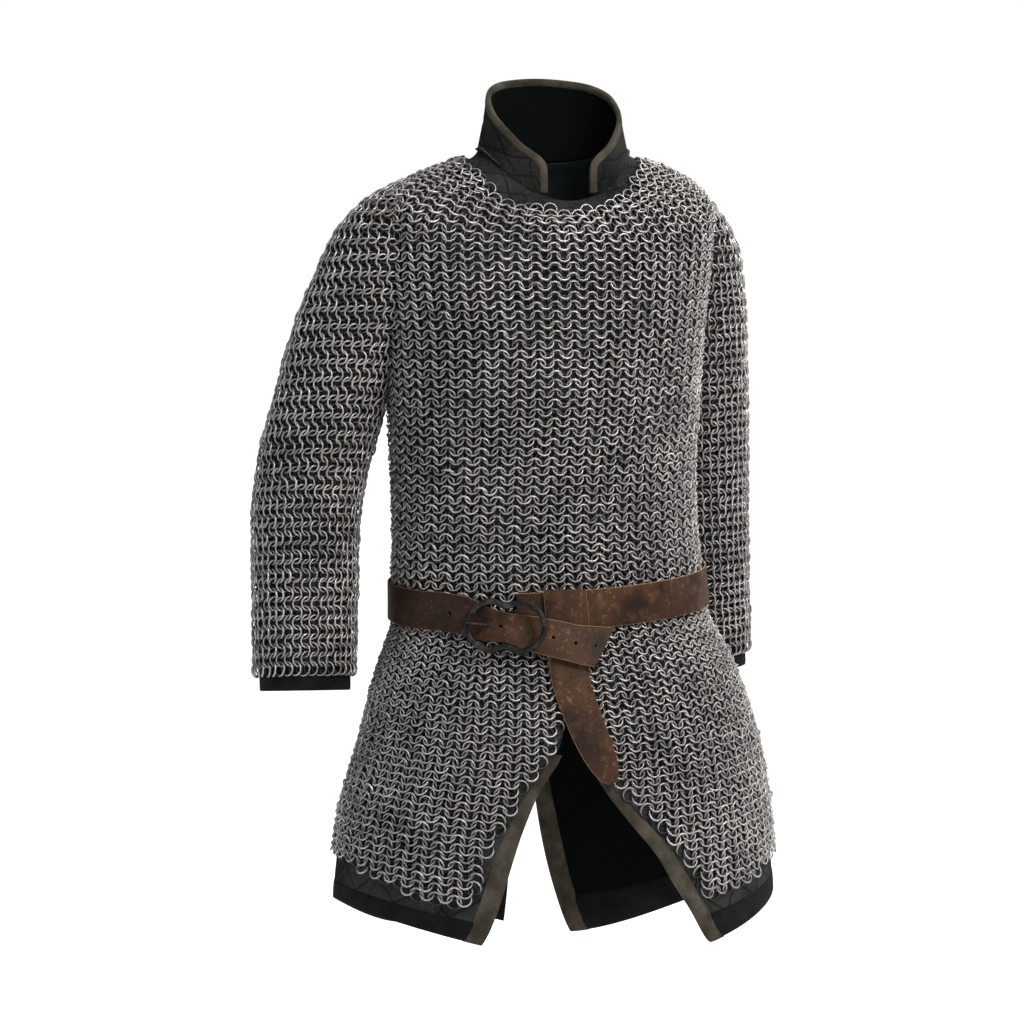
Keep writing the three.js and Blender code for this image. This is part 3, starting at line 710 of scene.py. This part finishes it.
def collarPlace(u, v, lift=0.0):
    edge, out, inward = collarEdgeFrame(u)
    base = math.radians(smoothRow(collarPath, u * (len(collarPath) - 1))[2])
    lip = edge + inward * (collar["edgingWidth"] - 1) * mm
    foot = bodyPoint(base, 0.08, walls["coat"] - walls["coatThickness"] / 2)
    straight = lip.lerp(foot, v)
    curved = collarPoint(base, straight.z / mm, 0)
    curved.z = straight.z
    point = straight.lerp(curved, 4 * v * (1 - v) * 0.6)
    return point + out * (collar["thickness"] / 2 * mm + lift)


collarSize = clothSizes(collarPlace)[:2]


def quiltedCollar(u, v):
    across, down = u * collarSize[0], v * collarSize[1]
    dip = 0
    for line in (across + down, across - down):
        off = (line / collar["quiltPitch"] + 0.5) % 1 - 0.5
        dip = max(dip, math.exp(-(off * collar["quiltPitch"] / 0.0032) ** 2))
    return collarPlace(u, v, -collar["quiltDepth"] * dip * math.sin(math.pi * min(v * 1.1, 1)))


bm = clothGrid(150, 26, quiltedCollar, collarSize)
piece = addObject("coatCollar", toMesh(bm, "coatCollar"), "collar", "paintedShadeLining")
wall = piece.modifiers.new("wall", "SOLIDIFY")
wall.thickness, wall.offset, wall.material_offset = collar["thickness"] * mm, -1, 1
settleModifiers(piece)
settle(piece, "coat_collar")


def collarEdgingPlace(u, v, lift):
    edge, out, inward = collarEdgeFrame(u)
    return edge + inward * (1 - v) * collar["edgingWidth"] * mm + out * lift


collarBinding = roundedStrip("collarEdging", 150, collarEdgingPlace, collar["edgingThickness"] * mm,
                             "binding", sides=16, square=0.7, length=0.5)
settle(collarBinding, "collar_edging")
declareSheet(collarPlace)
print("collar made")


# Mail: rings in rows that lean opposite ways
mail = {"diameter": 17.8, "wire": 2.42, "lean": 24, "fullPitch": 20.2, "seed": 5,
        "torsoColumns": 48, "rowPitch": 10.6, "lowRow": 11.25, "highRow": 1.06,
        "neckDip": 0.62, "neckDipAngle": -34, "neckDipWidth": 26,
        "skirtColumns": 62, "skirtRows": 35, "sideRise": 0.3, "splitReach": 4.8,
        "sleeveRound": 38, "sleevePitch": 20.4, "sleeveStart": 9.422}
looseness = {"tilt": 4.5, "along": 0.45, "across": 0.4, "out": 0.35, "tone": 0.62, "toneSpread": 0.16,
             "wildShare": 0.02, "wild": 3.2}


def makeRing():
    bm = bmesh.new()
    bmesh.ops.create_circle(bm, cap_ends=False, segments=3, radius=mail["wire"] / 2 * mm)
    bmesh.ops.rotate(bm, verts=bm.verts, cent=(0, 0, 0), matrix=Matrix.Rotation(math.pi / 2, 3, "X"))
    middle = (mail["diameter"] - mail["wire"]) / 2 * mm
    bmesh.ops.translate(bm, verts=bm.verts, vec=(middle, 0, 0))
    bmesh.ops.spin(bm, geom=bm.verts[:] + bm.edges[:], cent=(0, 0, 0), axis=(0, 0, 1),
                   angle=2 * math.pi, steps=12, use_merge=True)
    bmesh.ops.remove_doubles(bm, verts=bm.verts, dist=1e-6)
    bmesh.ops.recalc_face_normals(bm, faces=bm.faces)
    ring = addObject("oneRing", toMesh(bm, "oneRing"))
    proud = ring.data.attributes.new("proud", "FLOAT", "POINT")  # 1 where the ring stands out most
    proud.data.foreach_set("value", [v.co.y / middle for v in ring.data.vertices])
    return ring


def ringNodes(ring):  # sets a ring on every point, turned and sized by the point's attributes
    tree = bpy.data.node_groups.new("setRings", "GeometryNodeTree")
    tree.interface.new_socket("Geometry", in_out="INPUT", socket_type="NodeSocketGeometry")
    tree.interface.new_socket("Geometry", in_out="OUTPUT", socket_type="NodeSocketGeometry")
    new, link = tree.nodes.new, tree.links.new
    start, end = new("NodeGroupInput"), new("NodeGroupOutput")
    points, place, real = (new(f"GeometryNode{kind}") for kind in (
        "MeshToPoints", "InstanceOnPoints", "RealizeInstances"))
    info = new("GeometryNodeObjectInfo")
    info.inputs["Object"].default_value = ring
    turn, size = new("GeometryNodeInputNamedAttribute"), new("GeometryNodeInputNamedAttribute")
    turn.data_type, size.data_type = "FLOAT_VECTOR", "FLOAT"
    turn.inputs["Name"].default_value, size.inputs["Name"].default_value = "turn", "size"
    rotation = new("FunctionNodeEulerToRotation")
    link(start.outputs[0], points.inputs["Mesh"])
    link(points.outputs[0], place.inputs["Points"])
    link(info.outputs["Geometry"], place.inputs["Instance"])
    link(turn.outputs["Attribute"], rotation.inputs[0])
    link(rotation.outputs[0], place.inputs["Rotation"])
    link(size.outputs["Attribute"], place.inputs["Scale"])
    link(place.outputs[0], real.inputs[0])
    link(real.outputs[0], end.inputs[0])
    return tree


class RingSet:
    def __init__(self, seed):
        self.random = random.Random(seed)
        self.rings = []

    def put(self, point, rowAxis, out, turned, size=1.0):  # a turned ring stands out at its lower end
        draw = self.random.gauss
        wild = looseness["wild"] if self.random.random() < looseness["wildShare"] else 1
        side = out.cross(rowAxis).normalized()
        flip = -1 if turned else 1
        base = Matrix((side.cross(out).normalized() * flip, side * flip, out)).transposed()
        lean = mail["lean"] + draw(0, looseness["tilt"]) * wild
        tilt = Matrix.Rotation(math.radians(lean), 3, "X")
        sway = Matrix.Rotation(math.radians(draw(0, looseness["tilt"]) * wild), 3, "Y")
        spot = (point + rowAxis * draw(0, looseness["along"]) * mm
                + side * draw(0, looseness["across"]) * mm + out * draw(0, looseness["out"]) * mm)
        tone = min(max(looseness["tone"] + draw(0, looseness["toneSpread"]), 0), 1)
        self.rings.append((spot, (base @ sway @ tilt).to_euler(), size, tone))

    def build(self, name):
        bm = bmesh.new()
        for spot, *_ in self.rings:
            bm.verts.new(spot)
        mesh = bpy.data.meshes.new(name)
        bm.to_mesh(mesh)
        bm.free()
        turn = mesh.attributes.new("turn", "FLOAT_VECTOR", "POINT")
        turn.data.foreach_set("vector", [c for _, euler, _, _ in self.rings for c in euler])
        for n, key in ((2, "size"), (3, "tone")):
            layer = mesh.attributes.new(key, "FLOAT", "POINT")
            layer.data.foreach_set("value", [r[n] for r in self.rings])
        piece = addObject(name, mesh)
        piece.modifiers.new("rings", "NODES").node_group = ringTree
        settleModifiers(piece)
        piece.data.materials.clear()
        piece.data.materials.append(finishes["steel"])
        return piece


oneRing = makeRing()
ringTree = ringNodes(oneRing)


def evenAngles(row, count):  # angles at even distances round a ring of the body
    steps = 720
    turns = [2 * math.pi * k / steps - math.pi / 2 for k in range(steps + 1)]
    points = [bodyFace(a, row) for a in turns]
    run = [0.0]
    for a, b in zip(points, points[1:]):
        run.append(run[-1] + (b - a).length)

    def angleAt(share):
        target = share % count / count * run[-1]
        k = min(max(sum(1 for r in run if r <= target) - 1, 0), steps - 1)
        t = (target - run[k]) / (run[k + 1] - run[k])
        return turns[k] + (turns[k + 1] - turns[k]) * t
    return [angleAt(k / 2) for k in range(2 * count)]


def rowsAlong(frameAt, start, end, steps=160):  # row numbers at even distances, and the length
    rows = [start + (end - start) * k / steps for k in range(steps + 1)]
    points = [frameAt(row) for row in rows]
    run = [0.0]
    for a, b in zip(points, points[1:]):
        run.append(run[-1] + (b - a).length)

    def rowAt(distance):
        k = 0
        while k < steps - 1 and run[k + 1] < distance:
            k += 1
        return rows[k] + (rows[k + 1] - rows[k]) * (distance - run[k]) / (run[k + 1] - run[k])
    return rowAt, run[-1]


def ringSize(pitch):  # smaller rings where the columns close up
    return min(max(pitch / (mail["fullPitch"] * mm), 0.86), 1.04)


def dressTorso():
    angles = evenAngles(8, mail["torsoColumns"])
    sets = {half: RingSet(mail["seed"] + n) for n, half in enumerate(halves)}
    for k, angle in enumerate(angles):
        odd = k % 2
        half = "front" if math.cos(angle) >= -1e-9 else "back"
        aside = (math.degrees(angle) - mail["neckDipAngle"]) / mail["neckDipWidth"]
        top = mail["highRow"] + mail["neckDip"] * math.exp(-aside ** 2)
        rowAt, length = rowsAlong(lambda row: bodyFace(angle, row), mail["lowRow"], top)
        distance = (2.6 + 5.3 * odd) * mm
        while distance < length - 7.5 * mm:
            row = rowAt(distance)
            point, around, out = bodyFrame(angle, row)
            spot = point + out * walls["mailMiddle"]
            if max(depthIn(tree, spot) for tree in sleeveTrees.values()) < 1.5 * mm:
                sets[half].put(spot, around, out, not odd)
            distance += mail["rowPitch"] * mm
    return {f"mail_{half}": rings for half, rings in sets.items()}


def dressSkirt():
    angles = evenAngles(15, mail["skirtColumns"])
    sets = {quarter: RingSet(mail["seed"] + 10 + n) for n, quarter in enumerate(quarters)}
    for k, angle in enumerate(angles):
        odd = k % 2
        turn = math.degrees(angle)
        rowAt, length = rowsAlong(lambda row: bodyFace(angle, row), mail["lowRow"], ringAt["mailHem"])
        hem = ringAt["mailHem"] - mail["sideRise"] * smoothstep(abs(math.sin(angle)), 0.7, 1)
        for j in range(mail["skirtRows"]):
            row = rowAt(length * (j + 0.25 + 0.5 * odd) / mail["skirtRows"])
            quarter = None
            for name, (seam, table, column) in quarters.items():
                edge = math.degrees(splitAngles(table, column, row)[2])
                low, high = sorted((seam, edge))
                reach = math.degrees(mail["splitReach"] / smoothRow(bodyRings, row)[4])
                reach *= smoothstep(row, 13, 13.6)
                low, high = (low, high - reach) if column == 0 else (low + reach, high)
                if low <= turn < high:
                    quarter = name
            if quarter is None or row > hem:
                continue
            point, around, out = bodyFrame(angle, row)
            pitch = (bodyFace(angles[(k + 1) % len(angles)], row) - point).length * 2
            spot = point + out * walls["mailMiddle"]
            sets[quarter].put(spot, around, out, not odd, ringSize(pitch))
    return {f"mail_skirt_{quarter}": rings for quarter, rings in sets.items()}


def dressSleeve(side):
    rings = RingSet(mail["seed"] + (20 if side == "right" else 21))
    for k in range(2 * mail["sleeveRound"]):
        turn = math.pi * k / mail["sleeveRound"]
        odd = k % 2
        rowAt, length = rowsAlong(
            lambda at: sleevePoint(side, at, turn, 0), mail["sleeveStart"], 0.3)
        distance = (mail["sleevePitch"] / 2 * odd) * mm
        while distance < length:
            at = rowAt(distance)
            point, along, out = sleeveFrame(side, at, turn)
            spot = point + out * walls["mailMiddle"]
            if depthIn(bodyTree, spot) < 1 * mm:
                rings.put(spot, -along, out, not odd)
            distance += mail["sleevePitch"] * mm
    return rings


ringSets = {**dressTorso(), **dressSkirt()}
panelPlaces = {}
for half in halves:
    panelPlaces[f"mail_{half}"] = bodyPanel(half, ringAt["mailTop"], walls["mailMiddle"])
for quarter in quarters:
    panelPlaces[f"mail_skirt_{quarter}"] = quarterPlace(
        quarter, ringAt["mailHem"], walls["mailMiddle"], 2)
for side in sleevePaths:
    ringSets[f"mail_sleeve_{side}"] = dressSleeve(side)
    panelPlaces[f"mail_sleeve_{side}"] = (lambda u, v, side=side: sleevePoint(
        side, 1.6 + (sleeveAt["mailEnd"] - 1.6) * v, 2 * math.pi * u, walls["mailMiddle"]))
for node, rings in ringSets.items():
    piece = rings.build(toCamel(node))
    settle(piece, node)
    declareSheet(panelPlaces[node])
    print(node, len(rings.rings), "rings")
for leftover in (oneRing, bodyCutter, *sleeveCutters.values()):
    bpy.data.objects.remove(leftover)


# Belt: a strap with a hitch, a crossing end and a hanging tail
belt = {"width": 43, "thickness": 3, "hitchThickness": 2.6, "clearance": 1.7, "holeRadius": 2.1,
        "holes": [309.5, 331.5, 340, 348.2, 355, 361.5]}
freeEnd = [  # angle, height and lift of the middle of the crossing end
    [316.5, -501, 1.9], [321, -505, 3.2], [326, -509.8, 6.6], [332.7, -514, 10.4],
    [338.5, -518.5, 8.2], [343.5, -522.5, 9], [348, -526.5, 10.2], [352, -530, 10.5],
    [356, -534, 10.6],
]


def rowAtHeight(angle, z):  # ring number of a height near the waist
    low, high = 8, ringAt["hem"]
    for _ in range(26):
        middle = (low + high) / 2
        if bodyFace(angle, middle).z > z * mm:
            low = middle
        else:
            high = middle
    return (low + high) / 2


def onMail(degrees, z, offset):
    angle = math.radians(degrees)
    return bodyPoint(angle, rowAtHeight(angle, z), offset * mm)


def beltStations():  # angle and height of the top edge, then of the low edge, and the lift
    stations = []
    half = belt["width"] / 2
    for step in range(60):
        a = -23 + 5.6 * step
        z = -486 - 9 * math.cos(math.radians(a)) + 8 * math.sin(math.radians(a))
        stations.append([a, z + half, a, z - half, belt["clearance"]])
    for a, z, lift in freeEnd:
        squeezed = half - 3.4 * math.exp(-((a - 332.7) / 8) ** 2)
        stations.append([a + 0.8, z + squeezed, a - 0.8, z - squeezed, lift])
    return stations + [[362.9, -515, 357.5, -557.3, 10.6], [369, -517.5, 359.5, -559, 10.6]]


strapStations = beltStations()


def strapPoint(at, v, lift):  # v is 0 on the top edge and 1 on the low edge
    topAngle, topZ, lowAngle, lowZ, out = smoothRow(strapStations, at)
    base = out + belt["thickness"] / 2
    high, low = onMail(topAngle, topZ, base), onMail(lowAngle, lowZ, base)
    middle = onMail((topAngle + lowAngle) / 2, (topZ + lowZ) / 2, base)
    point = high.lerp(low, v)
    bow = middle - high.lerp(low, 0.5)
    outward = bodyFrame(math.radians((topAngle + lowAngle) / 2), 11.5)[2]
    return point + bow * (4 * v * (1 - v)) + outward * lift


strapEnd = len(strapStations) - 1


def strapPlace(u, v, lift):
    return strapPoint(u * strapEnd, v, lift)


strap = roundedStrip("beltStrap", 240, strapPlace, belt["thickness"] * mm, "leather",
                     sides=14, square=0.42, length=1.15)


def holePunch():
    punch = bmesh.new()
    for angle in belt["holes"]:
        at = min(range(len(strapStations)), key=lambda k: abs(
            (strapStations[k][0] + strapStations[k][2]) / 2 - angle))
        near = (strapStations[at][0] + strapStations[at][2]) / 2
        step = 5.6 if at < 60 else 4.6
        centre = strapPoint(at + (angle - near) / step, 0.5, 0)
        out = bodyFrame(math.radians(angle), 11.5)[2]
        turn = out.to_track_quat("Z", "Y").to_matrix().to_4x4()
        bmesh.ops.create_cone(punch, cap_ends=True, segments=16, radius1=belt["holeRadius"] * mm,
                              radius2=belt["holeRadius"] * mm, depth=0.012,
                              matrix=Matrix.Translation(centre) @ turn)
    return addObject("holePunch", toMesh(punch, "holePunch"))


punch = holePunch()
cut = strap.modifiers.new("holes", "BOOLEAN")
cut.operation, cut.solver, cut.object = "DIFFERENCE", "EXACT", punch
settleModifiers(strap)
markSharp(strap, 40)
bpy.data.objects.remove(punch)
settle(strap, "belt_strap")

hitchSpan = 15  # degrees
hitchStations = [  # angle of its right edge, height, lift
    [-13.6, -472, 6.3], [-13.6, -482, 6.3], [-13.5, -500, 6.3], [-13.8, -518, 6], [-14, -536, 4.8],
]


def hitchPlace(u, v, lift):
    a, z, out = smoothRow(hitchStations, u * 4)
    return onMail(a + hitchSpan * v, z, out + belt["hitchThickness"] / 2 + lift / mm)


hitch = roundedStrip("beltHitch", 40, hitchPlace, belt["hitchThickness"] * mm, "leather",
                     sides=28, square=0.42, length=0.07)
settle(hitch, "belt_hitch")

tailStations = [  # middle angle, height, half width, lift
    [-7, -537.2, 19.6, 4.5], [-7.6, -552, 19.2, 2.8], [-7.4, -575, 18.8, 2], [-5.6, -600, 18.6, 2],
    [-3.6, -625, 18.2, 1.8], [-1.3, -648, 16.6, 2], [0.4, -664, 13.4, 2.2], [1.6, -674, 9.4, 2.4],
    [2.2, -680, 4, 2.4],
]


def tailPlace(u, v, lift):
    at = u * (len(tailStations) - 1)
    a, z, half, out = smoothRow(tailStations, at)
    before, after = smoothRow(tailStations, at - 1), smoothRow(tailStations, at + 1)
    p, q = onMail(before[0], before[1], 0), onMail(after[0], after[1], 0)
    lean = math.atan2(q.x - p.x, p.z - q.z) * 0.9 * smoothstep(at, 0.3, 2.2)
    radius = smoothRow(bodyRings, rowAtHeight(math.radians(a), z))[4] * 1.25
    side = (2 * v - 1) * half
    angle = a + math.degrees(side * math.cos(lean) / radius)
    return onMail(angle, z + side * math.sin(lean), out + belt["hitchThickness"] / 2 + lift / mm)


tail = roundedStrip("beltTail", 70, tailPlace, belt["hitchThickness"] * mm, "leather",
                    sides=20, square=0.42, length=0.15)
settle(tail, "belt_tail")
print("belt made")

# Buckle: two lobes with pointed ends, and a bar across its waist
buckle = {"angle": -27.3, "z": -513.5, "halfWidth": 46, "halfHeight": 30, "wire": 3, "waist": 22.3,
          "tilt": 5, "plane": 14.2, "rise": 10.5, "barDrop": 7}
buckleAngle = math.radians(buckle["angle"])
buckleUp = (onMail(buckle["angle"], buckle["z"] + 24, 0)
            - onMail(buckle["angle"], buckle["z"] - 24, 0)).normalized()
buckleSide = Vector((math.cos(buckleAngle), math.sin(buckleAngle) * 0.75, 0)).normalized()
buckleOut = buckleSide.cross(buckleUp).normalized()
buckleSide = buckleUp.cross(buckleOut).normalized()
leaned = Matrix.Rotation(math.radians(-buckle["tilt"]), 3, buckleOut)
buckleSide, buckleUp = leaned @ buckleSide, leaned @ buckleUp
buckleCentre = onMail(buckle["angle"], buckle["z"], buckle["plane"])


def onBuckle(x, y, out):
    return buckleCentre + (buckleSide * x + buckleUp * y + buckleOut * out) * mm


def rod(name, steps, path, radius, closed=False, sides=12):
    def place(u, v):
        centre = path(u)
        along = (path(u + 0.004) - path(u - 0.004)).normalized()
        one = (buckleOut - along * buckleOut.dot(along)).normalized()
        two = along.cross(one)
        turn = 2 * math.pi * v
        return centre + (one * math.cos(turn) - two * math.sin(turn)) * radius(u, turn)
    bm = clothGrid(steps, sides, place)
    closeEnds(bm)
    return addObject(name, toMesh(bm, name), "iron")


def framePath(u):
    turn = 2 * math.pi * u
    c = math.cos(turn)
    x = (buckle["halfWidth"] - buckle["wire"]) * math.copysign(abs(c) ** 0.9, c)
    lobe = (buckle["halfHeight"] - buckle["wire"]) * 1.1
    pinch = 1 - (1 - buckle["waist"] / lobe) * math.exp(-(x / 13) ** 2)
    return onBuckle(x, lobe * math.sin(turn) * pinch, buckle["rise"] * max(x, 0) / buckle["halfWidth"])


def frameRadius(u, turn):  # flattened by the hammer, a little uneven
    along = 2 * math.pi * u
    hammered = noise.noise(Vector((math.cos(along) * 7, math.sin(along) * 7, turn * 0.4)))
    return (buckle["wire"] * (1 + 0.1 * abs(math.sin(turn))) + hammered * 0.35) * mm


def barPath(u):
    y = buckle["waist"] * (2 * u - 1)
    return onBuckle(0, y, -buckle["barDrop"] * (1 - min(abs(2 * u - 1), 1) ** 6))


# Across, up and out from the buckle's middle
pinStations = [[-3.2, 0, -7.7], [-12, 0.2, -8.5], [-16.5, 0.4, -6.8], [-21.5, 0.7, -2.2],
               [-27, 1, 1], [-36, 1.3, 4], [-45, 1.7, 5.4]]
frameRod = rod("buckleFrame", 150, framePath, frameRadius, closed=True)
barRod = rod("buckleBar", 40, barPath, lambda u, turn: 2.1 * mm)
join = frameRod.modifiers.new("bar", "BOOLEAN")
join.operation, join.solver, join.object = "UNION", "EXACT", barRod
settleModifiers(frameRod)
bpy.data.objects.remove(barRod)
settle(frameRod, "buckle_frame")
pin = rod("bucklePin", 48, lambda u: onBuckle(*smoothRow(pinStations, u * 6)),
          lambda u, turn: (1.75 - 0.35 * u) * mm)
settle(pin, "buckle_pin")
print("buckle made")

# Floor
floorMesh = bmesh.new()
bmesh.ops.create_grid(floorMesh, x_segments=1, y_segments=1, size=40)
bmesh.ops.translate(floorMesh, verts=floorMesh.verts, vec=(0, 0, floorHeight))
floor = addObject("floor", toMesh(floorMesh, "floor", smooth=False))
floor.data.materials.append(paleFloor())
